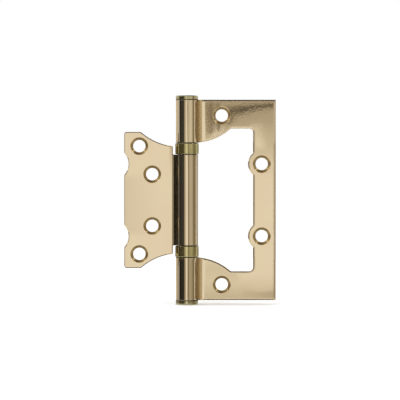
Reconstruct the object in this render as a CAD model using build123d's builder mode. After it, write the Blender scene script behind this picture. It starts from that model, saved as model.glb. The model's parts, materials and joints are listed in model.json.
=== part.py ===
from build123d import *
import os
from math import acos, atan2, cos, degrees, hypot, radians, sin

# Flush hinge with bearing rings, open flat. A small door leaf shuts into the window of a larger
# frame leaf, so the shut hinge takes up one thickness of sheet. Both leaves are stamped from sheet
# and rolled round one pin. The door knuckle turns between two bearing rings, and a cap closes
# each end of the barrel.
#
# Frame: the pin lies on Z, with Z = 0 at half height. The leaves lie in the XZ plane, centred on
# the pin. The countersunk show side faces -Y, the frame leaf reaches to +X, the door leaf to -X.
# All sizes are in millimetres, angles in degrees.

# Sheet, pin and roll
sheet = 2.5
pin_diameter = 6.0
running_clearance = 0.05
ease_reach = 8.75
ease_radius = 24.0
ease_turn = 2.5
bend_radius = 1.45
roll_gap = 2.2
roll_end_radius = 0.4
edge_break = 0.4

# Frame leaf
leaf_height = 100.0
frame_knuckle_length = 21.4
frame_reach = 44.3
strip_width = 11.3
arm_height = 14.4
window_corner_radius = 2.0
shoulder_centre_x = 3.5
shoulder_radius = 27.5
shoulder_corner_radius = 1.5
lobe_radius = 6.85
lobe_corner_radius = 0.8

# Door leaf
nest_gap = 1.65
shoulder_gap = 2.0
lobe_gap = 1.3
ear_gap = 1.25
ear_corner_radius = 0.5
door_corner_radius = 1.2

# Screw holes, countersunk on the show side
hole_diameter = 6.2
countersink_diameter = 8.75
countersink_angle = 90.0
arm_hole_x = 17.35
arm_hole_edge = 7.85
strip_hole_edge = 7.0
strip_hole_spacing = 36.0
door_outer_hole_edge = 7.55
door_outer_hole_end = 7.05
door_inner_hole_x = 17.35
door_inner_hole_spacing = 25.8

# Caps and pin ends
cap_height = 2.3
cap_overhang = 0.15
cap_rim_chamfer = 0.5
cap_seat_chamfer = 0.3
spigot_length = 8.0
spigot_chamfer = 0.5
pin_end_gap = 0.4
pin_end_chamfer = 0.5

# Bearing rings, each with a web between two washers
bearing_height = 5.95
bearing_overhang = 0.35
ring_wall = 1.0
ring_rim_chamfer = 0.45
ring_end_gap = 0.15
web_thickness = 1.4
washer_clearance = 0.1

# Sizes that follow
pin_radius = pin_diameter / 2
half_sheet = sheet / 2
frame_bore_radius = pin_radius
door_bore_radius = pin_radius + running_clearance
knuckle_radius = frame_bore_radius + sheet
half_height = leaf_height / 2
frame_knuckle_end = half_height - frame_knuckle_length
door_knuckle_end = frame_knuckle_end - bearing_height
window_reach = frame_reach - strip_width
window_half_height = half_height - arm_height
strip_hole_x = frame_reach - strip_hole_edge
ring_radius = knuckle_radius + bearing_overhang
ear_reach = ring_radius + ear_gap
door_reach = window_reach - nest_gap
door_half_height = window_half_height - nest_gap
cut_depth = 2 * knuckle_radius
show_face = Plane.XZ.offset(half_sheet)

os.makedirs("parts", exist_ok=True)


def rolled_edge(bore_radius, reach):
    """Edge of a leaf's section, with the leaf towards +X: sheet, bend to the back, slope, roll round the pin.

    The sheet eases into the bend. The slope is the line that touches the middle lines of the bend
    and of the roll. The roll stops roll_gap short of the bend, and its outer corner is rounded.
    """
    ease_centre = (ease_reach, ease_radius)
    bend_offset = ease_radius - bend_radius
    bend_x = ease_reach - bend_offset * sin(radians(ease_turn))
    bend_y = ease_radius - bend_offset * cos(radians(ease_turn))
    bend_distance = hypot(bend_x, bend_y)
    bend_angle = degrees(atan2(bend_y, bend_x))
    meet = bend_angle + degrees(acos((bore_radius + half_sheet + bend_radius) / bend_distance))
    bend_turn = 90 - meet - ease_turn
    outer_radius = bore_radius + sheet
    stop_distance = bend_radius + half_sheet + roll_gap
    stop_square = outer_radius**2 + bend_distance**2 - stop_distance**2
    roll_stop = bend_angle - degrees(acos(stop_square / (2 * outer_radius * bend_distance)))
    roll_turn = 360 + roll_stop - meet
    with BuildLine() as edge:
        Line((reach, -half_sheet), (ease_reach, -half_sheet))
        CenterArc(ease_centre, ease_radius + half_sheet, 270, -ease_turn)
        front_bend = CenterArc((bend_x, bend_y), bend_radius + half_sheet, 270 - ease_turn, -bend_turn)
        bore = CenterArc((0, 0), bore_radius, meet, roll_turn)
        outside = CenterArc((0, 0), outer_radius, meet + roll_turn, -roll_turn)
        back_bend = CenterArc((bend_x, bend_y), bend_radius - half_sheet, 180 + meet, bend_turn)
        CenterArc(ease_centre, ease_radius - half_sheet, 270 - ease_turn, ease_turn)
        Line(front_bend @ 1, bore @ 0)
        roll_end = Line(bore @ 1, outside @ 0)
        Line(outside @ 1, back_bend @ 0)
        Polyline((ease_reach, half_sheet), (reach, half_sheet), (reach, -half_sheet))
        fillet(edge.vertices().sort_by_distance(roll_end @ 1)[0], roll_end_radius)
    return edge.line


def window_edge(inset, shoulder_inset, lobe_inset):
    """Edge of the frame leaf's window and knuckle gap from the show side, smaller all round by the insets."""
    top = window_half_height - inset
    reach = window_reach - inset
    shoulder_z = frame_knuckle_end + shoulder_radius
    shoulder_arc = shoulder_radius + shoulder_inset
    shoulder_turn = degrees(acos((shoulder_z - top) / shoulder_arc))
    lobe_arc = lobe_radius + lobe_inset
    lobe_half_turn = degrees(acos((strip_hole_x - reach) / lobe_arc))
    lobe_centre = (strip_hole_x, strip_hole_spacing / 2)
    with BuildLine() as edge:
        shoulder = CenterArc((shoulder_centre_x, shoulder_z), shoulder_arc, 270, shoulder_turn)
        lobe = CenterArc(lobe_centre, lobe_arc, 180 - lobe_half_turn, 2 * lobe_half_turn)
        Polyline((-cut_depth, 0), (-cut_depth, frame_knuckle_end - shoulder_inset), shoulder @ 0)
        Polyline(shoulder @ 1, (reach, top), lobe @ 0)
        Line(lobe @ 1, (reach, 0))
        mirror(edge.line, about=Plane.XZ)
    return edge.line


def round_window_corners(inset, corner_radius):
    """Round the corners of a window sketch: the outer ones, those by the shoulders, those by the lobes."""
    rows = vertices().group_by(Axis.Y)
    fillet([row.sort_by(Axis.X)[-1] for row in (rows[0], rows[-1])], corner_radius)
    rows = vertices().group_by(Axis.Y)
    fillet([row.sort_by(Axis.X)[0] for row in (rows[0], rows[-1])], shoulder_corner_radius)
    lobe_end = strip_hole_spacing / 2 + lobe_radius + inset
    lobe_joins = vertices().group_by(Axis.X)[-1].filter_by_position(Axis.Y, -lobe_end, lobe_end)
    fillet(lobe_joins, lobe_corner_radius)


def break_show_edges():
    """Break the leaf's edges on the show side, apart from the line where the sheet starts to bend."""
    show_side = faces().filter_by(Plane.XZ).sort_by(Axis.Y)[0]
    flat_start = ease_reach + edge_break
    chamfer(show_side.edges().filter_by(lambda edge: abs(edge.center().X) > flat_start), edge_break)


def cut_screw_holes(x, z):
    """Two countersunk holes, one above and one below the middle."""
    with Locations(show_face):
        with Locations((x, z), (x, -z)):
            CounterSinkHole(
                radius=hole_diameter / 2,
                counter_sink_radius=countersink_diameter / 2,
                counter_sink_angle=countersink_angle,
            )


# Frame leaf
with BuildPart() as frame_leaf:
    with BuildSketch():
        add(rolled_edge(frame_bore_radius, frame_reach))
        make_face()
    extrude(amount=half_height, both=True)
    with BuildSketch(Plane.XZ):
        add(window_edge(0, 0, 0))
        make_face()
        round_window_corners(0, window_corner_radius)
    extrude(amount=cut_depth, both=True, mode=Mode.SUBTRACT)
    break_show_edges()
    cut_screw_holes(arm_hole_x, half_height - arm_hole_edge)
    cut_screw_holes(strip_hole_x, strip_hole_spacing / 2)
frame_leaf.part.label = "frame_leaf"
export_step(frame_leaf.part, "parts/frame_leaf.step")

# Door leaf
with BuildPart() as door_leaf:
    with BuildSketch():
        add(rolled_edge(door_bore_radius, door_reach))
        make_face()
        mirror(about=Plane.YZ, mode=Mode.REPLACE)
    extrude(amount=door_half_height, both=True)
    with BuildSketch(Plane.XZ):
        add(window_edge(nest_gap, shoulder_gap, lobe_gap))
        make_face()
        round_window_corners(nest_gap, door_corner_radius)
        with Locations((ear_reach, door_knuckle_end)):
            Rectangle(cut_depth + ear_reach, half_height, align=(Align.MAX, Align.MIN), mode=Mode.SUBTRACT)
        with Locations((ear_reach, -door_knuckle_end)):
            Rectangle(cut_depth + ear_reach, half_height, align=(Align.MAX, Align.MAX), mode=Mode.SUBTRACT)
        ear_corners = vertices().filter_by(lambda corner: abs(corner.X - ear_reach) < running_clearance)
        fillet(ear_corners, ear_corner_radius)
        mirror(about=Plane.YZ, mode=Mode.REPLACE)
    extrude(amount=cut_depth, both=True, mode=Mode.INTERSECT)
    break_show_edges()
    cut_screw_holes(door_outer_hole_edge - door_reach, door_half_height - door_outer_hole_end)
    cut_screw_holes(-door_inner_hole_x, door_inner_hole_spacing / 2)
door_leaf.part.label = "door_leaf"
export_step(door_leaf.part, "parts/door_leaf.step")

# Pin, held by the frame knuckles
pin_end = half_height - spigot_length - pin_end_gap
with BuildPart() as hinge_pin:
    with BuildSketch():
        Circle(pin_radius)
    extrude(amount=pin_end, both=True)
    chamfer(hinge_pin.edges().filter_by(GeomType.CIRCLE), pin_end_chamfer)
hinge_pin.part.label = "hinge_pin"
export_step(hinge_pin.part, "parts/hinge_pin.step")

# Caps, each with a spigot pressed into the frame knuckle
with BuildPart() as top_cap:
    with BuildSketch(Plane.XZ):
        with Locations((0, half_height)):
            Rectangle(knuckle_radius + cap_overhang, cap_height, align=Align.MIN)
            chamfer(vertices().group_by(Axis.X)[-1].sort_by(Axis.Y)[-1], cap_rim_chamfer)
            chamfer(vertices().group_by(Axis.X)[-1].sort_by(Axis.Y)[0], cap_seat_chamfer)
            Rectangle(frame_bore_radius, spigot_length, align=(Align.MIN, Align.MAX))
        chamfer(vertices().group_by(Axis.Y)[0].sort_by(Axis.X)[-1], spigot_chamfer)
    revolve(axis=Axis.Z)
top_cap.part.label = "top_cap"
export_step(top_cap.part, "parts/top_cap.step")

with BuildPart() as bottom_cap:
    mirror(top_cap.part, about=Plane.XY)
bottom_cap.part.label = "bottom_cap"
export_step(bottom_cap.part, "parts/bottom_cap.step")

# Bearings: a ring with an inner web, and a washer on each side of the web that meets a knuckle.
# The washers stand out of the ring's ends, so only they touch the knuckles.
ring_end = bearing_height / 2 - ring_end_gap
recess_radius = ring_radius - ring_wall
bearing_bore = pin_radius + washer_clearance
web_face = web_thickness / 2
bearing_middle = door_knuckle_end + bearing_height / 2

for place, middle in (("upper", bearing_middle), ("lower", -bearing_middle)):
    with BuildPart() as ring:
        with BuildSketch(Plane((0, 0, middle), x_dir=(1, 0, 0), z_dir=(0, -1, 0))):
            with Locations((bearing_bore, 0)):
                Rectangle(ring_radius - bearing_bore, 2 * ring_end, align=(Align.MIN, Align.CENTER))
            chamfer(vertices().group_by(Axis.X)[-1], ring_rim_chamfer)
            with Locations((bearing_bore, web_face), (bearing_bore, -ring_end)):
                recess_width = recess_radius - bearing_bore
                Rectangle(recess_width, ring_end - web_face, align=Align.MIN, mode=Mode.SUBTRACT)
        revolve(axis=Axis.Z)
    ring.part.label = f"{place}_bearing_ring"
    export_step(ring.part, f"parts/{place}_bearing_ring.step")

    for end, side in (("top", 1), ("bottom", -1)):
        knuckle_face = middle + side * bearing_height / 2
        meets_door = abs(knuckle_face) < bearing_middle
        web_play = running_clearance if meets_door else 0
        with BuildPart() as washer:
            with BuildSketch(Plane.XY.offset(knuckle_face)):
                Circle(recess_radius - washer_clearance)
                Circle(bearing_bore, mode=Mode.SUBTRACT)
            extrude(amount=side * (web_face + web_play - bearing_height / 2))
        washer.part.label = f"{place}_bearing_{end}_washer"
        export_step(washer.part, f"parts/{place}_bearing_{end}_washer.step")
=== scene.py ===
# %% [markdown]
# # Flush hinge in polished brass plating
#
# A flush hinge has a small door leaf that shuts into the window of a larger frame leaf, so the shut
# hinge is one sheet thick. The exact solids come in as a fixed frame, and this lesson dresses them:
# the finishes, the turned caps and rings, a plain studio and the camera. The hinge stands open flat,
# its pin on the Z axis and its countersunk side towards -Y.

# %% Load the frame
import json

import bpy
import numpy as np
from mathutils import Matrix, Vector


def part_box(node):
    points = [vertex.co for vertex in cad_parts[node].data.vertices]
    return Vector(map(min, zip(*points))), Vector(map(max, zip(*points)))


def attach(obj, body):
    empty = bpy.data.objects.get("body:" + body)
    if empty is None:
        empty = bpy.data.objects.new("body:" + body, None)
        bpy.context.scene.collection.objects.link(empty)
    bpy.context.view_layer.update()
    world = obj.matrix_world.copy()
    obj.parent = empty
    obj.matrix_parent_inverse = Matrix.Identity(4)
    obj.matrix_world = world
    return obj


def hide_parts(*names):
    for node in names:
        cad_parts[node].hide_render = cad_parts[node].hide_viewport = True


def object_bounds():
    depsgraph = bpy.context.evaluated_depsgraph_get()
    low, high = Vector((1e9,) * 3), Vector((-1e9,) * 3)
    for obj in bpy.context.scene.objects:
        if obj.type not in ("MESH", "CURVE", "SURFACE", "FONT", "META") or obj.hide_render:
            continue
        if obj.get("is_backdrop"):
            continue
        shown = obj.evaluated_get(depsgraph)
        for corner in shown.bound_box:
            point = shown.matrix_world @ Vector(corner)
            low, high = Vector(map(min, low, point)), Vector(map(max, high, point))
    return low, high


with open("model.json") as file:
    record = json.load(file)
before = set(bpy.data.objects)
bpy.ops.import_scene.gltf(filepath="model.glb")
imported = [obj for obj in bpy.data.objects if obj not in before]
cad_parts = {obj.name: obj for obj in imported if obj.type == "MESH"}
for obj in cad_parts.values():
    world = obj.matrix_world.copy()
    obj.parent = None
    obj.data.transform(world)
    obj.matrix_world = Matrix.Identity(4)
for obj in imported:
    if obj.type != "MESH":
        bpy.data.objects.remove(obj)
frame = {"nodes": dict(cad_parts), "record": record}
cad_low, cad_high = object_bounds()
MM = 0.001
print("CAD box in mm:", [round((high - low) / MM, 2) for low, high in zip(cad_low, cad_high)])

# %% [markdown]
# ## Small helpers
#
# Colours are written as sRGB hex, the way they are read off a paint chart, and Blender's shaders
# want linear light, so one function turns one into the other. A second one adds a shader node, sets
# what it is given and links the rest, so that a material below reads as a list of steps.

# %% Colour and node helpers
def linear(hex_colour):
    """sRGB hex to linear RGBA: the low end is divided by 12.92, the rest follows the 2.4 power curve."""
    srgb = np.array([int(hex_colour[i:i + 2], 16) for i in (0, 2, 4)]) / 255
    rgb = np.where(srgb <= 0.04045, srgb / 12.92, ((srgb + 0.055) / 1.055) ** 2.4)
    return (*rgb.tolist(), 1.0)


def add_node(tree, kind, sockets=None, **settings):
    """Add a node, set its properties, then set or link each input named or numbered in sockets.

    A value that is itself a node stands for the first of its outputs that is in use.
    """
    made = tree.nodes.new(kind)
    for name, value in settings.items():
        setattr(made, name, value)
    for name, value in (sockets or {}).items():
        if isinstance(value, bpy.types.Node):
            value = next(output for output in value.outputs if output.enabled)
        if isinstance(value, bpy.types.NodeSocket):
            tree.links.new(value, made.inputs[name])
        else:
            made.inputs[name].default_value = value
    return made


def new_material(name):
    """A material and its node tree, emptied."""
    material = bpy.data.materials.new(name)
    material.use_nodes = True
    material.node_tree.nodes.clear()
    return material, material.node_tree


PALE_BRASS, PINK_BRASS = "E2D1AE", "DEC8A6"
print("brass hex", PALE_BRASS, "is linear", [round(v, 3) for v in linear(PALE_BRASS)])

# %% [markdown]
# Every pattern below has a real size, so the materials work in millimetres. Object coordinates are
# in metres, and as every piece sits at the origin they are also the places of the shared frame: a
# pattern can find a screw hole or the pin's axis by its drawing coordinates. The scale of a noise is
# one over the width of its lumps, and the distance of a bump is the height of its relief.

# %% Coordinates in millimetres
def millimetres(tree):
    """Object coordinates scaled from metres to millimetres."""
    place = add_node(tree, "ShaderNodeTexCoord").outputs["Object"]
    return add_node(tree, "ShaderNodeVectorMath", {0: place, "Scale": 1 / MM}, operation="SCALE")


print("a lump of 0.5 mm is a noise scale of", 1 / 0.5)

# %% [markdown]
# ## Brass-plated sheet
#
# Both leaves are cold-rolled steel sheet, stamped, rolled round the pin, buffed and plated with brass
# under a thin lacquer. A buffed plate is a mirror, so most of its look is what it mirrors. What makes
# it sheet and not glass is a long, faint waviness from the press and a fine orange peel from the
# plating. Both are heights here: their slopes, well under one in a hundred, are what bends and breaks
# up a reflection. Roughness alone would only blur it.
#
# The screw seats were countersunk before plating and no buffing wheel reaches into them, so they are
# duller, with rings left by the tool. Their darker colour is partly that dull plating and partly painted
# shade of the recess. The record gives each pair of holes, mirrored about the middle, and the distance
# to the nearest hole's axis finds both the seat and its rings.

# %% Where the screw seats are
# Here and below, sizes are in mm, and a mask rises from 0 at its START to 1 at its FULL.
SEAT_RADIUS, BACK_FACE = 4.375, 1.25
SEAT_START, SEAT_FULL = SEAT_RADIUS + 0.05, SEAT_RADIUS - 0.1
SUNK_START, SUNK_FULL = BACK_FACE - 0.05, BACK_FACE - 0.15

seats = {"frame_leaf": [], "door_leaf": []}
for mount in frame["record"]["mounts"]:
    if mount["kind"] == "bolt_pattern":
        x, z = mount["pos_m"][0] / MM, mount["dims"]["spacing_y_mm"] / 2
        seats["frame_leaf" if x > 0 else "door_leaf"].append((abs(x), z))
print("screw holes in mm from the middle:", seats)


def seat_distance(tree, place, holes):
    """Distance in mm to the nearest hole's axis, with the leaf folded on its middle so a pair is one hole."""
    folded = add_node(tree, "ShaderNodeVectorMath", {0: place}, operation="ABSOLUTE")
    flat = add_node(tree, "ShaderNodeVectorMath", {0: folded, 1: (1, 0, 1)}, operation="MULTIPLY")
    first, second = (
        add_node(tree, "ShaderNodeVectorMath", {0: flat, 1: (x, 0, z)}, operation="DISTANCE")
        for x, z in holes
    )
    return add_node(tree, "ShaderNodeMath", {0: first, 1: second}, operation="MINIMUM")


def screw_seat(tree, place, distance):
    """1 in a seat, up to its rim, and 0 outside it and on the flat back of the leaf."""
    limits = {"From Min": SEAT_START, "From Max": SEAT_FULL}
    near_hole = add_node(tree, "ShaderNodeMapRange", {"Value": distance, **limits})
    depth = add_node(tree, "ShaderNodeSeparateXYZ", {0: place}).outputs["Y"]
    limits = {"From Min": SUNK_START, "From Max": SUNK_FULL}
    sunk = add_node(tree, "ShaderNodeMapRange", {"Value": depth, **limits})
    return add_node(tree, "ShaderNodeMath", {0: near_hole, 1: sunk}, operation="MULTIPLY")


# %% [markdown]
# Three more marks on the leaf. The sheet's edges are rolled over by the press. The wheel can't reach
# the mouth of the roll, where the sheet bends round the pin, so it stays dull, and its brown is partly
# that plating and partly painted shade of the crease. And where a knuckle meets a ring or a cap, a dark
# line of painted shade runs round the barrel. A Bevel modifier would need welded faces, and the exact
# solids are loose triangles, so the Bevel shader node turns the normals within a millimetre or so of an
# edge instead, and the edge catches a dark and a pale line.

# %% The mouth of the roll and the seams of the barrel
ROLL_MOUTH, MOUTH_REACH, MOUTH_FADE = (5.4, -0.6, 0), 2.2, 0.9
RING_MIDDLE, KNUCKLE_FROM_RING, KNUCKLE_TOP = 25.625, 2.975, 50.0
# The seam's colour is painted shade of the gap where the parts meet.
SEAM_WIDTH, SEAM_FADE, SEAM_SHADE_COLOUR = 0.3, 0.25, "2E2210"
BARREL_START, BARREL_FULL = 6.5, 6.0


def roll_mouth(tree, place):
    """1 in the mouth of the roll, where no buffing wheel reaches and its shade is painted, falling to 0 over
    about a millimetre.
    """
    split = add_node(tree, "ShaderNodeSeparateXYZ", {0: place})
    side = add_node(tree, "ShaderNodeMath", {0: split.outputs["X"]}, operation="ABSOLUTE")
    flat = add_node(tree, "ShaderNodeCombineXYZ", {"X": side, "Y": split.outputs["Y"]})
    distance = add_node(tree, "ShaderNodeVectorMath", {0: flat, 1: ROLL_MOUTH}, operation="DISTANCE")
    limits = {"From Min": MOUTH_REACH, "From Max": MOUTH_REACH - MOUTH_FADE}
    return add_node(tree, "ShaderNodeMapRange", {"Value": distance, **limits})


def barrel_seam(tree, place):
    """1 at the ends of the knuckles, falling to 0 over a quarter millimetre, and 0 off the barrel.

    The nearness to an end is the greater of two: how little |z| differs from a ring's middle, and how
    far |z| reaches up to the cap.
    """
    folded = add_node(tree, "ShaderNodeVectorMath", {0: place}, operation="ABSOLUTE")
    split = add_node(tree, "ShaderNodeSeparateXYZ", {0: folded})
    side, height = split.outputs["X"], split.outputs["Z"]
    offset = add_node(tree, "ShaderNodeMath", {0: height, 1: RING_MIDDLE}, operation="SUBTRACT")
    from_ring = add_node(tree, "ShaderNodeMath", {0: offset}, operation="ABSOLUTE")
    ring_reach, cap_start = KNUCKLE_FROM_RING + SEAM_WIDTH, KNUCKLE_TOP - SEAM_WIDTH
    ring_depth = add_node(tree, "ShaderNodeMath", {0: ring_reach, 1: from_ring}, operation="SUBTRACT")
    cap_depth = add_node(tree, "ShaderNodeMath", {0: height, 1: cap_start}, operation="SUBTRACT")
    depth = add_node(tree, "ShaderNodeMath", {0: ring_depth, 1: cap_depth}, operation="MAXIMUM")
    near_end = add_node(tree, "ShaderNodeMapRange", {"Value": depth, "From Min": 0.0, "From Max": SEAM_FADE})
    limits = {"From Min": BARREL_START, "From Max": BARREL_FULL}
    on_barrel = add_node(tree, "ShaderNodeMapRange", {"Value": side, **limits})
    return add_node(tree, "ShaderNodeMath", {0: near_end, 1: on_barrel}, operation="MULTIPLY")


print("knuckles end", KNUCKLE_FROM_RING, "mm from the rings' middles and", KNUCKLE_TOP, "mm from the leaf's")

# %% Rolled-over edges
BARREL_SIDE, SEAT_ROOM, SQUARE_EDGE = 7.0, SEAT_RADIUS + 1, 0.4
BEVEL_SAMPLES = 8


def rolled_edge(tree, place, distance, edge_mm):
    """The normals of a sheet whose edges are rolled over by edge_mm.

    They are rolled over less where a screw seat leaves little room, and on the barrel, whose ends are
    faced off square.
    """
    across = add_node(tree, "ShaderNodeSeparateXYZ", {0: place}).outputs["X"]
    side = add_node(tree, "ShaderNodeMath", {0: across}, operation="ABSOLUTE")
    from_barrel = add_node(tree, "ShaderNodeMath", {0: side, 1: BARREL_SIDE}, operation="SUBTRACT")
    from_seat = add_node(tree, "ShaderNodeMath", {0: distance, 1: SEAT_ROOM}, operation="SUBTRACT")
    room = add_node(tree, "ShaderNodeMath", {0: from_barrel, 1: from_seat}, operation="MINIMUM")
    least, most = min(edge_mm, SQUARE_EDGE) * MM, edge_mm * MM
    edge = add_node(tree, "ShaderNodeMapRange", {"Value": room, "To Min": least, "To Max": most})
    return add_node(tree, "ShaderNodeBevel", {"Radius": edge}, samples=BEVEL_SAMPLES)


print("edges are rolled over fully from", BARREL_SIDE + 1, "mm beside the pin")

# %% [markdown]
# With the places known, the plating is a list of layers. The colour starts from the brass, and the
# colour of each darker place, painted shade at the seams and partly painted shade in the mouth and the
# seats, is laid over it. The relief starts from the rolled edges, and each finer one is raised on the
# one before: press waves of 26 mm, pits of about a millimetre where the polish ran thin, and an orange
# peel of 0.5 mm, about twice the real one, to show. The buffed face is nearly a mirror, handling dulls
# it in patches of about 9 mm, and each of these darker places adds its own roughness.

# %% Brass-plated sheet
PLATING_PATCH, HANDLED_PATCH = 22.0, 9.0
MIRROR_ROUGHNESS, HANDLED_ROUGHNESS = 0.018, 0.034
# The seats' colour is partly dull plating and partly painted shade of the recess.
SEAT_DULL_AND_SHADE_COLOUR, SEAT_DULL, SEAM_DULL = "C0AA7C", 0.3, 0.2
MOUTH_DULL, MATTE_DULL = 0.3, 0.5
SHEET_RELIEF = ((26.0, 0.05, 1.0), (0.9, 0.0011, 1.0), (0.5, 0.0007, 2.0))  # width, height, detail
TOOL_PITCH, TOOL_HEIGHT = 0.3, 0.02


def brass_sheet(name, holes, edge_mm, mouth_dull_and_shade_colour, mouth_matte):
    """Buffed brass plating on stamped sheet, dull in the screw seats and the mouth of the roll, with painted
    shade there and at the barrel's seams.
    """
    material, tree = new_material(name)
    place = millimetres(tree)
    distance = seat_distance(tree, place, holes)
    seat = screw_seat(tree, place, distance)
    mouth = roll_mouth(tree, place)
    seam = barrel_seam(tree, place)

    # Plating goes on unevenly, so the brass is a little paler and a little pinker by turns.
    uneven = add_node(tree, "ShaderNodeTexNoise", {"Vector": place, "Scale": 1 / PLATING_PATCH})
    tints = {"Color1": linear(PALE_BRASS), "Color2": linear(PINK_BRASS)}
    colour = add_node(tree, "ShaderNodeMixRGB", {"Fac": uneven, **tints})
    # The seam's colour is painted shade, and those of the mouth and the seats are partly dull plating and
    # partly painted shade.
    for share, shaded_colour in ((mouth, mouth_dull_and_shade_colour), (seam, SEAM_SHADE_COLOUR), (seat, SEAT_DULL_AND_SHADE_COLOUR)):
        layers = {"Fac": share, "Color1": colour, "Color2": linear(shaded_colour)}
        colour = add_node(tree, "ShaderNodeMixRGB", layers)

    normal = rolled_edge(tree, place, distance, edge_mm)
    for width_mm, height_mm, detail in SHEET_RELIEF:
        grain = {"Vector": place, "Scale": 1 / width_mm, "Detail": detail}
        height = add_node(tree, "ShaderNodeTexNoise", grain)
        relief = {"Height": height, "Distance": height_mm * MM, "Normal": normal}
        normal = add_node(tree, "ShaderNodeBump", relief)

    # The countersink's tool leaves rings 0.3 mm apart, drawn coarser than the real ones so they show.
    grain = {"W": distance, "Scale": 1 / TOOL_PITCH, "Detail": 1.0}
    rings = add_node(tree, "ShaderNodeTexNoise", grain, noise_dimensions="1D")
    tooled = add_node(tree, "ShaderNodeMath", {0: rings, 1: seat}, operation="MULTIPLY")
    relief = {"Height": tooled, "Distance": TOOL_HEIGHT * MM, "Normal": normal}
    normal = add_node(tree, "ShaderNodeBump", relief)

    handled = add_node(tree, "ShaderNodeTexNoise", {"Vector": place, "Scale": 1 / HANDLED_PATCH})
    limits = {"To Min": MIRROR_ROUGHNESS, "To Max": HANDLED_ROUGHNESS}
    roughness = add_node(tree, "ShaderNodeMapRange", {"Value": handled, **limits})
    mouth_dull = MOUTH_DULL + MATTE_DULL * mouth_matte
    for share, dulling in ((mouth, mouth_dull), (seam, SEAM_DULL), (seat, SEAT_DULL)):
        terms = {0: share, 1: dulling, 2: roughness}
        roughness = add_node(tree, "ShaderNodeMath", terms, operation="MULTIPLY_ADD")

    limits = {"To Min": 1.0, "To Max": 1 - mouth_matte}
    metallic = add_node(tree, "ShaderNodeMapRange", {"Value": mouth, **limits})
    shader = add_node(
        tree, "ShaderNodeBsdfPrincipled",
        {"Base Color": colour, "Metallic": metallic, "Roughness": roughness, "Normal": normal},
    )
    add_node(tree, "ShaderNodeOutputMaterial", {"Surface": shader})
    return material


print("relief of the sheet in mm:", [f"{height} over {width}" for width, height, _ in SHEET_RELIEF])

# %% Dress the leaves
# How far the edges are rolled over, in mm, and the mouth's colour, dull plating with painted shade, and how
# matte it is, from 0 to 1.
LEAF_FINISH = {"frame_leaf": (1.4, "C3A46D", 0.8), "door_leaf": (0.12, "9A9078", 0.0)}


def dress(node, finish):
    """Give a node of the frame its finish."""
    slots = frame["nodes"][node].data.materials
    slots.clear()
    slots.append(finish)


for leaf, finish in LEAF_FINISH.items():
    dress(leaf, brass_sheet(f"brass_plated_sheet_{leaf}", seats[leaf], *finish))
    print(leaf, "is brass-plated sheet with", 2 * len(seats[leaf]), "seats")

# %% [markdown]
# ## Turned caps and bearing rings
#
# The caps and rings are turned from bar. The frame's solids have flat chamfers, and on the real
# pieces every edge is rounded: it is the rounded rim that catches a bright and a dark line. A Bevel
# modifier could round the edges, but a turned piece is simply a profile carried round the pin. Here
# a profile is a list of arcs, one for each corner, and the straight runs are what lies between the
# end of one arc and the start of the next. The arcs give the exact normals too, so flat faces shade
# flat right up to their rims.

# %% A profile of arcs, carried round the pin
COLUMNS = 144
ARC_STEPS = 7


def profile_of_arcs(arcs):
    """Points and normals of a profile, from rows of centre r, centre z, radius, start and stop in degrees.

    A point is the centre plus the radius times (cosine, sine) of an angle that runs from start to
    stop in even steps, and its normal is that (cosine, sine). A negative radius marks a hollow
    corner: its size counts for the point and its sign turns the normal round.
    """
    r, z, radius, start, stop = np.array(arcs, dtype=float).T[:, :, None]
    angle = np.radians(start + (stop - start) * np.linspace(0, 1, ARC_STEPS))
    points = np.stack([r + abs(radius) * np.cos(angle), z + abs(radius) * np.sin(angle)], -1)
    normals = np.stack([np.sign(radius) * np.cos(angle), np.sign(radius) * np.sin(angle)], -1)
    return points.reshape(-1, 2), normals.reshape(-1, 2)


def turned(flat):
    """Carry pairs (r, z) round the Z axis: x is r times the cosine of the turn, y r times its sine."""
    turn = np.linspace(0, 2 * np.pi, COLUMNS, endpoint=False)
    r, z = flat[:, :1], flat[:, 1:]
    return np.stack([r * np.cos(turn), r * np.sin(turn), z + 0 * turn], -1).reshape(-1, 3)


def turned_faces(rows, closed):
    """Quads between neighbouring rows and columns, round to the first column, and row if closed."""
    row = np.arange(rows if closed else rows - 1)[:, None]
    column = np.arange(COLUMNS)
    next_row, next_column = (row + 1) % rows * COLUMNS, (column + 1) % COLUMNS
    row = row * COLUMNS
    corners = [row + column, next_row + column, next_row + next_column, row + next_column]
    return np.stack(corners, -1).reshape(-1, 4)


print("a turned edge has", ARC_STEPS, "points and a turn", COLUMNS)

# %% [markdown]
# Turning leaves fine grooves round the axis, which plating softens. On a face they are circles and
# on a side they are lines round it, and both are the same thing: a height that depends only on the
# distance from the axis and on the height along it, never on the turn. The rings are plated in a
# greener brass than the sheet, and the caps a little duller, which is how the eye tells the pieces
# of the barrel apart. Where two pieces meet, a dark line of painted shade runs round the barrel.

# %% Turned and plated brass
SIDE_START, SIDE_FULL = 4.9, 5.2
SEAM_START, SEAM_FULL = 0.4, 0.15
GROOVE_WIDTH, TURNED_PEEL, TURNED_RELIEF = 0.25, 0.6, 0.001
TINT_PATCH, GLOSS_PATCH, LEAST_GLOSS, MOST_GLOSS = 3.0, 2.0, 0.8, 1.2
RING_HALF, CAP_MIDDLE, CAP_HALF = 2.825, 51.15, 1.15


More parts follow.
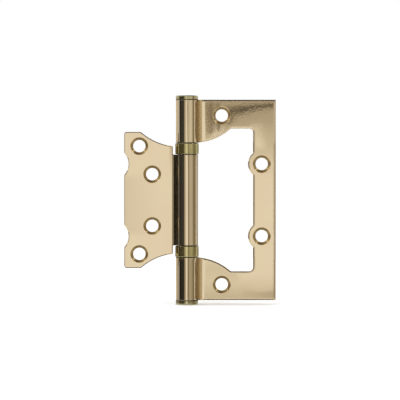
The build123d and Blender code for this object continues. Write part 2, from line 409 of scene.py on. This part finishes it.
def turned_brass(name, colour, shade, roughness, middle_mm, half_mm):
    """Plated turned brass with grooves round the axis, and painted shade at the seams at both ends of its
    side.
    """
    material, tree = new_material(name)
    place = millimetres(tree)
    across = add_node(tree, "ShaderNodeVectorMath", {0: place, 1: (1, 1, 0)}, operation="MULTIPLY")
    radius = add_node(tree, "ShaderNodeVectorMath", {0: across}, operation="LENGTH")
    along = add_node(tree, "ShaderNodeSeparateXYZ", {0: place}).outputs["Z"]
    groove_place = add_node(tree, "ShaderNodeCombineXYZ", {"X": radius, "Y": along})

    # Grooves 0.25 mm apart are about twice as coarse as the real ones, so that they show.
    grooves = add_node(tree, "ShaderNodeTexNoise", {"Vector": groove_place, "Scale": 1 / GROOVE_WIDTH})
    grooved = add_node(tree, "ShaderNodeBump", {"Height": grooves, "Distance": TURNED_RELIEF * MM})
    peel = add_node(tree, "ShaderNodeTexNoise", {"Vector": place, "Scale": 1 / TURNED_PEEL})
    relief = {"Height": peel, "Distance": TURNED_RELIEF * MM, "Normal": grooved}
    normal = add_node(tree, "ShaderNodeBump", relief)

    # Painted shade darkens the seams, over the last 0.4 mm of the side.
    height = add_node(tree, "ShaderNodeMath", {0: along}, operation="ABSOLUTE")
    offset = add_node(tree, "ShaderNodeMath", {0: height, 1: middle_mm}, operation="SUBTRACT")
    reach = add_node(tree, "ShaderNodeMath", {0: offset}, operation="ABSOLUTE")
    limits = {"From Min": half_mm - SEAM_START, "From Max": half_mm - SEAM_FULL}
    end = add_node(tree, "ShaderNodeMapRange", {"Value": reach, **limits})
    limits = {"From Min": SIDE_START, "From Max": SIDE_FULL}
    side = add_node(tree, "ShaderNodeMapRange", {"Value": radius, **limits})
    seam = add_node(tree, "ShaderNodeMath", {0: end, 1: side}, operation="MULTIPLY")

    uneven = add_node(tree, "ShaderNodeTexNoise", {"Vector": place, "Scale": 1 / TINT_PATCH})
    tints = {"Color1": linear(colour), "Color2": linear(shade)}
    tint = add_node(tree, "ShaderNodeMixRGB", {"Fac": uneven, **tints})
    layers = {"Fac": seam, "Color1": tint, "Color2": linear(SEAM_SHADE_COLOUR)}
    shaded_colour = add_node(tree, "ShaderNodeMixRGB", layers)

    handled = add_node(tree, "ShaderNodeTexNoise", {"Vector": place, "Scale": 1 / GLOSS_PATCH})
    limits = {"To Min": LEAST_GLOSS * roughness, "To Max": MOST_GLOSS * roughness}
    gloss = add_node(tree, "ShaderNodeMapRange", {"Value": handled, **limits})
    dulled = add_node(tree, "ShaderNodeMath", {0: seam, 1: SEAM_DULL, 2: gloss}, operation="MULTIPLY_ADD")
    shader = add_node(
        tree, "ShaderNodeBsdfPrincipled",
        {"Base Color": shaded_colour, "Metallic": 1.0, "Roughness": dulled, "Normal": normal},
    )
    add_node(tree, "ShaderNodeOutputMaterial", {"Surface": shader})
    return material


ring_brass = turned_brass("turned_ring_brass", "CEC592", "C2B681", 0.11, RING_MIDDLE, RING_HALF)
cap_brass = turned_brass("turned_cap_brass", "CBC39A", "BFB386", 0.1, CAP_MIDDLE, CAP_HALF)
print("turned finishes:", ring_brass.name, cap_brass.name)

# %% Put a surface into the scene
def new_piece(name, points, normals, faces, finish):
    """A smooth mesh piece from points in mm, their normals and lists of corners, left at the origin."""
    mesh = bpy.data.meshes.new(name)
    mesh.from_pydata((points * MM).tolist(), [], faces)
    mesh.materials.append(finish)
    mesh.polygons.foreach_set("use_smooth", np.ones(len(mesh.polygons), dtype=bool))
    mesh.normals_split_custom_set_from_vertices(normals.tolist())
    made = bpy.data.objects.new(name, mesh)
    bpy.context.scene.collection.objects.link(made)
    print(name, "has", len(mesh.polygons), "faces, closed:", len(mesh.edges) * 2 == len(mesh.loops))
    return made


# %% [markdown]
# ## Bearing rings
#
# Each ring is a band a little wider than the barrel with a web inside, and a washer on each side of
# the web. Its profile is a closed loop: the outside, an end, a recess, the bore, and the same again
# upwards. The lower half is listed, and the upper half is its mirror image in the opposite order.

# %% Bearing rings
RING_RADIUS, RECESS_RADIUS, BORE_RADIUS = 5.85, 4.85, 3.1
WEB_FACE = 0.7
RIM, MOUTH, CORNER = 0.45, 0.15, 0.1


def ring_profile(ring_end):
    """Closed profile of a ring whose ends lie at plus and minus ring_end."""
    lower = np.array([
        (RING_RADIUS - RIM, RIM - ring_end, RIM, 0, -90),
        (RECESS_RADIUS + MOUTH, MOUTH - ring_end, MOUTH, -90, -180),
        (RECESS_RADIUS - CORNER, -WEB_FACE - CORNER, -CORNER, 0, 90),
        (BORE_RADIUS + CORNER, CORNER - WEB_FACE, CORNER, -90, -180),
    ])
    upper = lower[::-1, [0, 1, 2, 4, 3]] * (1, -1, 1, -1, -1)
    return profile_of_arcs(np.vstack([lower, upper]))


for level in ("upper", "lower"):
    node = f"{level}_bearing_ring"
    low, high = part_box(node)
    flat, flat_normals = ring_profile((high.z - low.z) / 2 / MM)
    points = turned(flat) + (0, 0, (high.z + low.z) / 2 / MM)
    normals = turned(flat_normals)
    ring = new_piece(
        f"{level}_turned_ring", points, normals, turned_faces(len(flat), True).tolist(), ring_brass
    )
    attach(ring, "frame_side")
    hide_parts(node)

# %% [markdown]
# ## Caps
#
# A cap is a shallow crowned disc with a spigot that is pressed into the knuckle. Its profile starts
# on the axis: the crown is an arc of a large circle, then come the rim, the seat, the root of the
# spigot and its end. A point on the axis would be repeated in every column, so the axis has one
# vertex at each end instead, the two poles, and triangles join each to the nearest row of the turned
# grid. The lower cap is the same one turned over: X and Z change sign, which is half a turn about Y,
# so its faces still point outwards.

# %% Caps
CAP_RADIUS, CAP_SEAT = 5.65, 50.0
SPIGOT_RADIUS, SPIGOT_END = 3.0, 42.0
CROWN_RADIUS, CAP_RIM, SEAT_EDGE, SPIGOT_ROOT, SPIGOT_NOSE = 60.0, 0.5, 0.4, 0.1, 0.5


def cap_profile(top):
    """Profile of the upper cap from the crown's middle, at height top, to the end of the spigot."""
    crown_z = top - CROWN_RADIUS
    rim_r = CAP_RADIUS - CAP_RIM
    rim_turn = np.degrees(np.arccos(rim_r / (CROWN_RADIUS - CAP_RIM)))
    rim_z = crown_z + (CROWN_RADIUS - CAP_RIM) * np.sin(np.radians(rim_turn))
    return profile_of_arcs([
        (0, crown_z, CROWN_RADIUS, 90, rim_turn),
        (rim_r, rim_z, CAP_RIM, rim_turn, 0),
        (CAP_RADIUS - SEAT_EDGE, CAP_SEAT + SEAT_EDGE, SEAT_EDGE, 0, -90),
        (SPIGOT_RADIUS + SPIGOT_ROOT, CAP_SEAT - SPIGOT_ROOT, -SPIGOT_ROOT, 90, 180),
        (SPIGOT_RADIUS - SPIGOT_NOSE, SPIGOT_END + SPIGOT_NOSE, SPIGOT_NOSE, 0, -90),
    ])


def pole_faces(ring_start, pole, outwards):
    """Triangles from one row of the grid to a pole, the other way round at the lower pole."""
    column = np.arange(COLUMNS)
    near, far = ring_start + column, ring_start + (column + 1) % COLUMNS
    corners = [np.full(COLUMNS, pole), near, far] if outwards else [np.full(COLUMNS, pole), far, near]
    return np.stack(corners, -1).tolist()


top_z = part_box("top_cap")[1].z / MM
flat, flat_normals = cap_profile(top_z)
rows = flat[1:]
cap_points = np.vstack([turned(rows), [(0, 0, top_z), (0, 0, SPIGOT_END)]])
cap_normals = np.vstack([turned(flat_normals[1:]), [(0, 0, 1), (0, 0, -1)]])
crown_pole, nose_pole = len(cap_points) - 2, len(cap_points) - 1
cap_faces = turned_faces(len(rows), False).tolist()
cap_faces += pole_faces(0, crown_pole, True)
cap_faces += pole_faces((len(rows) - 1) * COLUMNS, nose_pole, False)

for node, turned_over in (("top_cap", (1, 1, 1)), ("bottom_cap", (-1, 1, -1))):
    cap = new_piece(
        node.replace("cap", "turned_cap"),
        cap_points * turned_over, cap_normals * turned_over, cap_faces, cap_brass,
    )
    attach(cap, "frame_side")
    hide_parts(node)

# %% [markdown]
# ## Pin and washers
#
# The barrel hides these, and they show when the hinge is taken apart. The pin is bright drawn steel:
# the die leaves fine lines along it, so its noise is stretched twenty times along Z. The washers are
# moulded nylon, off-white and a little translucent, with the faint grain of the mould.

# %% Drawn steel
DIE_LINE_WIDTH, DIE_LINE_STRETCH, DIE_LINE_HEIGHT = 0.2, 20, 0.002
SMOOTH_STEEL, ROUGH_STEEL = 0.2, 0.32

steel, tree = new_material("drawn_steel")
place = millimetres(tree)
stretched = add_node(tree, "ShaderNodeMapping", {"Vector": place, "Scale": (1, 1, 1 / DIE_LINE_STRETCH)})
die_lines = add_node(tree, "ShaderNodeTexNoise", {"Vector": stretched, "Scale": 1 / DIE_LINE_WIDTH})
tints = {"Color1": linear("C9CACB"), "Color2": linear("B4B4B3")}
colour = add_node(tree, "ShaderNodeMixRGB", {"Fac": die_lines, **tints})
limits = {"To Min": SMOOTH_STEEL, "To Max": ROUGH_STEEL}
roughness = add_node(tree, "ShaderNodeMapRange", {"Value": die_lines, **limits})
normal = add_node(tree, "ShaderNodeBump", {"Height": die_lines, "Distance": DIE_LINE_HEIGHT * MM})
shader = add_node(
    tree, "ShaderNodeBsdfPrincipled",
    {"Base Color": colour, "Metallic": 1.0, "Roughness": roughness, "Normal": normal},
)
add_node(tree, "ShaderNodeOutputMaterial", {"Surface": shader})
dress("hinge_pin", steel)
print("the pin is drawn steel with lines of", DIE_LINE_WIDTH, "mm")

# %% Moulded nylon
GRAIN_WIDTH, GRAIN_HEIGHT, CLOUD_WIDTH = 0.3, 0.004, 4.0
SMOOTH_NYLON, ROUGH_NYLON, NYLON_IOR = 0.38, 0.5, 1.53

nylon, tree = new_material("moulded_nylon")
place = millimetres(tree)
grain = add_node(tree, "ShaderNodeTexNoise", {"Vector": place, "Scale": 1 / GRAIN_WIDTH})
clouds = add_node(tree, "ShaderNodeTexNoise", {"Vector": place, "Scale": 1 / CLOUD_WIDTH})
tints = {"Color1": linear("EAE6DA"), "Color2": linear("E2DCCB")}
colour = add_node(tree, "ShaderNodeMixRGB", {"Fac": clouds, **tints})
limits = {"To Min": SMOOTH_NYLON, "To Max": ROUGH_NYLON}
roughness = add_node(tree, "ShaderNodeMapRange", {"Value": grain, **limits})
normal = add_node(tree, "ShaderNodeBump", {"Height": grain, "Distance": GRAIN_HEIGHT * MM})
shader = add_node(
    tree, "ShaderNodeBsdfPrincipled",
    {
        "Base Color": colour, "IOR": NYLON_IOR, "Roughness": roughness, "Normal": normal,
        "Subsurface Weight": 0.2, "Subsurface Radius": (1.0, 0.9, 0.7), "Subsurface Scale": 0.5 * MM,
    },
)
add_node(tree, "ShaderNodeOutputMaterial", {"Surface": shader})
washers = [name for name in frame["nodes"] if name.endswith("washer")]
for washer in washers:
    dress(washer, nylon)
print("moulded nylon on", len(washers), "washers")

# %% [markdown]
# ## Floor
#
# The hinge stands on a plain white floor that runs out to the white of the studio. It is a disc of
# points at even radii and turns. Polished brass would mirror a white floor as a hard white band, so
# the floor stays out of reflections, and the cards below say what the metal sees.

# %% Floor
FLOOR_RADIUS, FLOOR_RINGS, FLOOR_TURNS = 3.0, 13, 49


def stage_mesh(name, points, faces, finish):
    """A piece of the studio, not of the hinge."""
    mesh = bpy.data.meshes.new(name)
    mesh.from_pydata(points.tolist(), [], faces.tolist())
    mesh.materials.append(finish)
    made = bpy.data.objects.new(name, mesh)
    bpy.context.scene.collection.objects.link(made)
    made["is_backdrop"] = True
    return made


def grid_faces(rows, columns):
    """Quads between neighbouring rows and columns of an open grid."""
    corner = np.arange(rows - 1)[:, None] * columns + np.arange(columns - 1)
    return np.stack([corner, corner + 1, corner + columns + 1, corner + columns], -1).reshape(-1, 4)


floor_paper, tree = new_material("white_floor_paper")
paper = add_node(tree, "ShaderNodeBsdfDiffuse", {"Color": linear("FEFEFE")})
add_node(tree, "ShaderNodeOutputMaterial", {"Surface": paper})

radius, turn = np.meshgrid(
    np.linspace(0.0, FLOOR_RADIUS, FLOOR_RINGS), np.linspace(0, 2 * np.pi, FLOOR_TURNS), indexing="ij"
)
floor_points = np.stack([radius * np.cos(turn), radius * np.sin(turn), np.full_like(turn, cad_low.z)], -1)
floor = stage_mesh("floor", floor_points.reshape(-1, 3), grid_faces(*radius.shape), floor_paper)
floor.visible_glossy = False
print("floor at", round(cad_low.z / MM, 2), "mm")

# %% [markdown]
# ## What the brass sees
#
# In a white studio a mirror is white all over. The bands on a polished barrel come from the dark and
# grey things that stand round it, so the set has grey cards, as a product photographer would hang.
# They show only in reflections and light nothing. A card is bent round the pin from one bearing to
# another, counted in degrees from the camera's side, and its grey may run from one value to another.

# %% Card helpers
CARD_DISTANCE, CARD_STEPS = 0.3, 17
GREEN_WARMTH, BLUE_WARMTH = 0.1, 0.33
cards = []


def card_paper(name, first, last, warmth):
    """Card graded evenly from one grey to another across its width, browner where darker if it is warm.

    Green is the grey to the power 1 plus a tenth of the warmth, and blue to 1 plus a third of it.
    """
    material, tree = new_material(name)
    across = add_node(tree, "ShaderNodeUVMap", uv_map="across")
    split = add_node(tree, "ShaderNodeSeparateXYZ", {0: across})
    grey = add_node(
        tree, "ShaderNodeMapRange", {"Value": split.outputs["X"], "To Min": first, "To Max": last}
    )
    green, blue = (
        add_node(tree, "ShaderNodeMath", {0: grey, 1: 1 + warmth * share}, operation="POWER")
        for share in (GREEN_WARMTH, BLUE_WARMTH)
    )
    colour = add_node(tree, "ShaderNodeCombineXYZ", {"X": grey, "Y": green, "Z": blue})
    shade = add_node(tree, "ShaderNodeEmission", {"Color": colour})
    add_node(tree, "ShaderNodeOutputMaterial", {"Surface": shade})
    return material


def card(name, points, first, last, warmth):
    """A card on a grid of points, graded from the grid's first row to its last, seen only in reflections."""
    rows, columns = points.shape[:2]
    finish = card_paper(f"{name}_paper", first, last, warmth)
    made = stage_mesh(name, points.reshape(-1, 3), grid_faces(rows, columns), finish)
    across = np.repeat(np.linspace(0, 1, rows), columns)
    corners = np.empty(len(made.data.loops), np.int32)
    made.data.loops.foreach_get("vertex_index", corners)
    uv = np.stack([across[corners], np.zeros(len(corners))], -1)
    made.data.uv_layers.new(name="across").uv.foreach_set("vector", uv.astype(np.float32).reshape(-1))
    for ray in ("camera", "diffuse", "shadow", "transmission", "volume_scatter"):
        setattr(made, f"visible_{ray}", False)
    cards.append(made)


def arc_card(name, start, stop, zone, first, last, warmth=1.0, distance=CARD_DISTANCE):
    """A card bent round the pin: x is the distance times the bearing's sine, y minus it times the cosine."""
    bearing = np.radians(np.linspace(start, stop, CARD_STEPS))
    turn, height = np.meshgrid(bearing, np.array(zone), indexing="ij")
    points = np.stack([distance * np.sin(turn), -distance * np.cos(turn), height], -1)
    card(name, points, first, last, warmth)


def flat_card(name, corner, along, across, first, last, warmth=1.0):
    """A flat card: a corner, a side its grey runs along and a side across it, as steps in metres."""
    a, b = np.meshgrid(np.array([0.0, 1.0]), np.array([0.0, 1.0]), indexing="ij")
    points = np.array(corner) + a[..., None] * np.array(along) + b[..., None] * np.array(across)
    card(name, points, first, last, warmth)


# %% [markdown]
# The barrel is a round mirror, so it squeezes the whole room into its width: a column of the barrel
# sees a bearing, and each dark or pale band on it is a card over some bearings. The rings, the ends
# and the middle knuckle differ a little, so they have cards of their own, in front and only as tall
# as the part they serve. The rolled-over edges look up, down and aside, and have their own cards.
# No bent card comes within ten degrees of the front, where the flat faces would mirror it.

# %% Cards round the barrel
BARREL = (-0.085, 0.080)
TOP, UPPER_RING, MIDDLE = (0.031, 0.080), (0.023, 0.031), (-0.033, 0.023)
LOWER_RING, BOTTOM, SKIRT = (-0.041, -0.033), (-0.068, -0.041), (-0.082, -0.068)
NEARER = CARD_DISTANCE - 0.01
arc_card("left_rear", -150, -84, BARREL, 0.72, 0.6, 0)
arc_card("left_flag", -86, -28, BARREL, 0.03, 0.07, 0)
arc_card("left_graded", -28, -10, BARREL, 0.35, 0.75)
arc_card("stand", 10.5, 19.5, BARREL, 0.27, 0.27)
arc_card("right_graded", 19.5, 45, BARREL, 0.52, 0.62)
arc_card("right_flag", 45, 66, BARREL, 0.6, 0.45)
arc_card("right_line", 66, 84, BARREL, 0.28, 0.26)
arc_card("right_rear", 104, 150, BARREL, 0.65, 0.8, 0)
arc_card("window_top", 10.6, 50, TOP, 0.62, 0.86, 1, NEARER)
arc_card("right_flag_middle", 84, 105, MIDDLE, 0.26, 0.5, 1, NEARER)
flat_card("left_flag_middle", (-0.06, -0.014, -0.033), (0, 0.0118, 0), (0, 0, 0.056), 0.03, 0.06, 0)
arc_card("left_rear_bottom", -178, -86, BOTTOM, 0.5, 0.45, 0, NEARER)
arc_card("left_flag_bottom", -86, -28, BOTTOM, 0.02, 0.045, 0, NEARER)
arc_card("left_graded_bottom", -28, -10, BOTTOM, 0.24, 0.6, 1, NEARER)
arc_card("right_bottom", 19.5, 45, BOTTOM, 0.47, 0.5, 1, NEARER)
arc_card("right_flag_bottom", 45, 84, BOTTOM, 0.46, 0.16, 1, NEARER)
for name, zone in (("upper", UPPER_RING), ("lower", LOWER_RING)):
    arc_card(f"{name}_ring_left", -178, -97, zone, 0.15, 0.2, 1, NEARER)
    arc_card(f"{name}_ring_left_flag", -89, -30, zone, 0.12, 0.16, 1, NEARER)
    arc_card(f"{name}_ring_right", 84, 102, zone, 0.3, 0.45, 1, NEARER)
    arc_card(f"{name}_ring_right_edge", 120, 178, zone, 0.35, 0.3, 1, NEARER)
for name, start, stop, first, last in (
    ("left", -150, -28, 0.2, 0.07), ("middle", -28, -10, 0.3, 0.45), ("right", 10.5, 150, 0.24, 0.2)
):
    arc_card(f"skirt_{name}", start, stop, SKIRT, first, last, 1, NEARER)
flat_card("ceiling", (-0.008, -0.8, 0.35), (0.8, 0, 0), (0, 1.1, 0), 0.06, 0.06)
flat_card("ceiling_left", (-0.008, -0.8, 0.35), (-0.8, 0, 0), (0, 1.1, 0), 0.22, 0.22)
flat_card("right_edge_flag", (0.075, -0.0022, -0.06), (0, 0.008, 0), (0, 0, 0.12), 0.15, 0.15)
flat_card("base", (-0.4, -0.10, -0.35), (0.8, 0, 0), (0, 0.2, 0), 0.06, 0.06)
flat_card("lower_edge_flag", (0.008, -0.0085, -0.0535), (0.0365, 0, 0), (0, 0.0085, 0), 0.04, 0.04)
print(len(cards), "cards round the barrel")

# %% [markdown]
# The flat faces look straight back past the camera, and mirror spots about twice as far from the
# middle as they are themselves. What hangs there is a dark boom for the slanting band across the
# upper arm, slats for the streaks beside the screw hole, graded shades that dim both arms and one side
# of the door leaf, and two gaps where the white room shows through between the shades. They hang in
# three layers, the boom nearest and the large shades farthest.

# %% Cards behind the camera
BOOM, SMALL, LARGE = -1.25, -1.255, -1.26
flat_card("far_window", (0.09, BOOM, 0.0375), (0.14, 0, 0), (0, 0, 0.045), 0.55, 0.6)
flat_card("far_stand", (0.13, BOOM, -0.125), (0.10, 0, 0), (0, 0, 0.047), 0.3, 0.3)
flat_card("boom", (0.036, BOOM, 0.0662), (0.07, 0, 0.0085), (0, 0, 0.0042), 0.03, 0.03)
flat_card("boom_head", (0.034, BOOM, 0.060), (0.007, 0, 0), (0, 0, 0.011), 0.15, 0.15)
for number, x in enumerate((0.004, 0.013, 0.022)):
    flat_card(f"boom_slat_{number}", (x, BOOM, 0.050), (0.005, 0, 0), (0, 0, 0.027), 0.22, 0.22)
flat_card("upper_shade", (0.0, LARGE, 0.005), (0, 0, 0.06), (0.15, 0, 0), 1.0, 0.55)
flat_card("upper_shade_end", (0.0, LARGE, 0.065), (0, 0, 0.06), (0.15, 0, 0), 0.55, 0.48)
flat_card("lower_shade", (-0.01, LARGE, -0.095), (0, 0, -0.04), (0.16, 0, 0), 1.0, 0.6)
flat_card("lower_arm_shade", (0.0, SMALL, -0.074), (0, 0, -0.016), (0.045, 0, 0), 1.0, 0.83)
flat_card("lower_arm_shade_end", (0.0, SMALL, -0.090), (0, 0, -0.016), (0.045, 0, 0), 0.83, 0.9)
flat_card("lower_corner_shade", (0.052, SMALL, -0.113), (0.038, 0, 0), (0, 0, -0.018), 0.72, 0.58)
flat_card("upper_gap_left", (0.018, SMALL, 0.044), (0, 0, 0.013), (0.014, 0, 0), 1.0, 0.9)
flat_card("upper_gap_right", (0.059, SMALL, 0.034), (0, 0, 0.025), (0.011, 0, 0), 1.0, 0.75)
flat_card("door_shade", (-0.080, SMALL, -0.055), (0.045, 0, 0), (0, 0, 0.06), 0.86, 1.0, 0.5)
print(len(cards), "cards in all")

# %% [markdown]
# ## Light
#
# The world is plain white: it lights the hinge evenly and gives the brass a white room to mirror. A
# large softbox, high on the left, puts a soft shadow on the floor, and two small lamps, above on the
# left and on the right, put a glint into each screw seat. A picture of a studio could do all this in
# one, but then no light could be moved on its own.

# %% World and lamps
world = bpy.data.worlds.new("white_studio")
bpy.context.scene.world = world
world.use_nodes = True
tree = world.node_tree
tree.nodes.clear()
sky = add_node(tree, "ShaderNodeBackground", {"Color": linear("FFFFFF"), "Strength": 1.0})
add_node(tree, "ShaderNodeOutputWorld", {"Surface": sky})


def softbox(name, place, size, watts):
    """A square area lamp that faces the origin."""
    lamp = bpy.data.lights.new(name, "AREA")
    lamp.shape, lamp.size, lamp.energy = "SQUARE", size, watts
    made = bpy.data.objects.new(name, lamp)
    made.location = place
    made.rotation_euler = (-made.location).to_track_quat("-Z", "Y").to_euler()
    bpy.context.scene.collection.objects.link(made)
    print(name, "of", watts, "W at", place)


softbox("key_softbox", (-0.7, -0.8, 1.2), 0.8, 4.0)
softbox("left_glint", (-0.5, -0.14, 0.45), 0.06, 0.4)
softbox("right_glint", (0.5, -0.14, 0.45), 0.06, 0.4)

# %% [markdown]
# ## Camera
#
# The hinge is seen square on, from a little above its middle. A long lens from 1.2 m keeps the leaves
# square. It follows from the view: the picture is 199.5 mm wide at the leaves' front faces, so the
# lens is to the sensor's width as the distance to those faces is to that width. The Standard view
# keeps the floor white and the brass in its own colours.

# %% Camera
VIEW_DISTANCE, VIEW_RISE, VIEW_WIDTH, FRONT_FACE = 1.2, 0.020, 0.1995, 1.25 * MM
VIEW_MIDDLE, SENSOR_WIDTH = 6.5 * MM, 36.0
lens = bpy.data.cameras.new("camera")
camera = bpy.data.objects.new("camera", lens)
bpy.context.scene.collection.objects.link(camera)
aim = Vector((VIEW_MIDDLE, 0.0, 0.0))
camera.location = aim + Vector((0.0, -VIEW_DISTANCE, VIEW_RISE))
camera.rotation_euler = (aim - camera.location).to_track_quat("-Z", "Y").to_euler()
lens.sensor_width = SENSOR_WIDTH
lens.lens = SENSOR_WIDTH * (VIEW_DISTANCE - FRONT_FACE) / VIEW_WIDTH
bpy.context.scene.camera = camera
bpy.context.scene.view_settings.view_transform = "Standard"
print("a lens of", round(lens.lens, 1), "mm")

# %% [markdown]
# ## Sizes
#
# Both boxes are measured and printed: that of the exact solids when they are loaded, and that of what is seen
# here. What is seen must stay inside the box of the exact solids.

# %% Sizes
low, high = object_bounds()
print("visual box in mm:", [round((b - a) / MM, 2) for a, b in zip(low, high)])
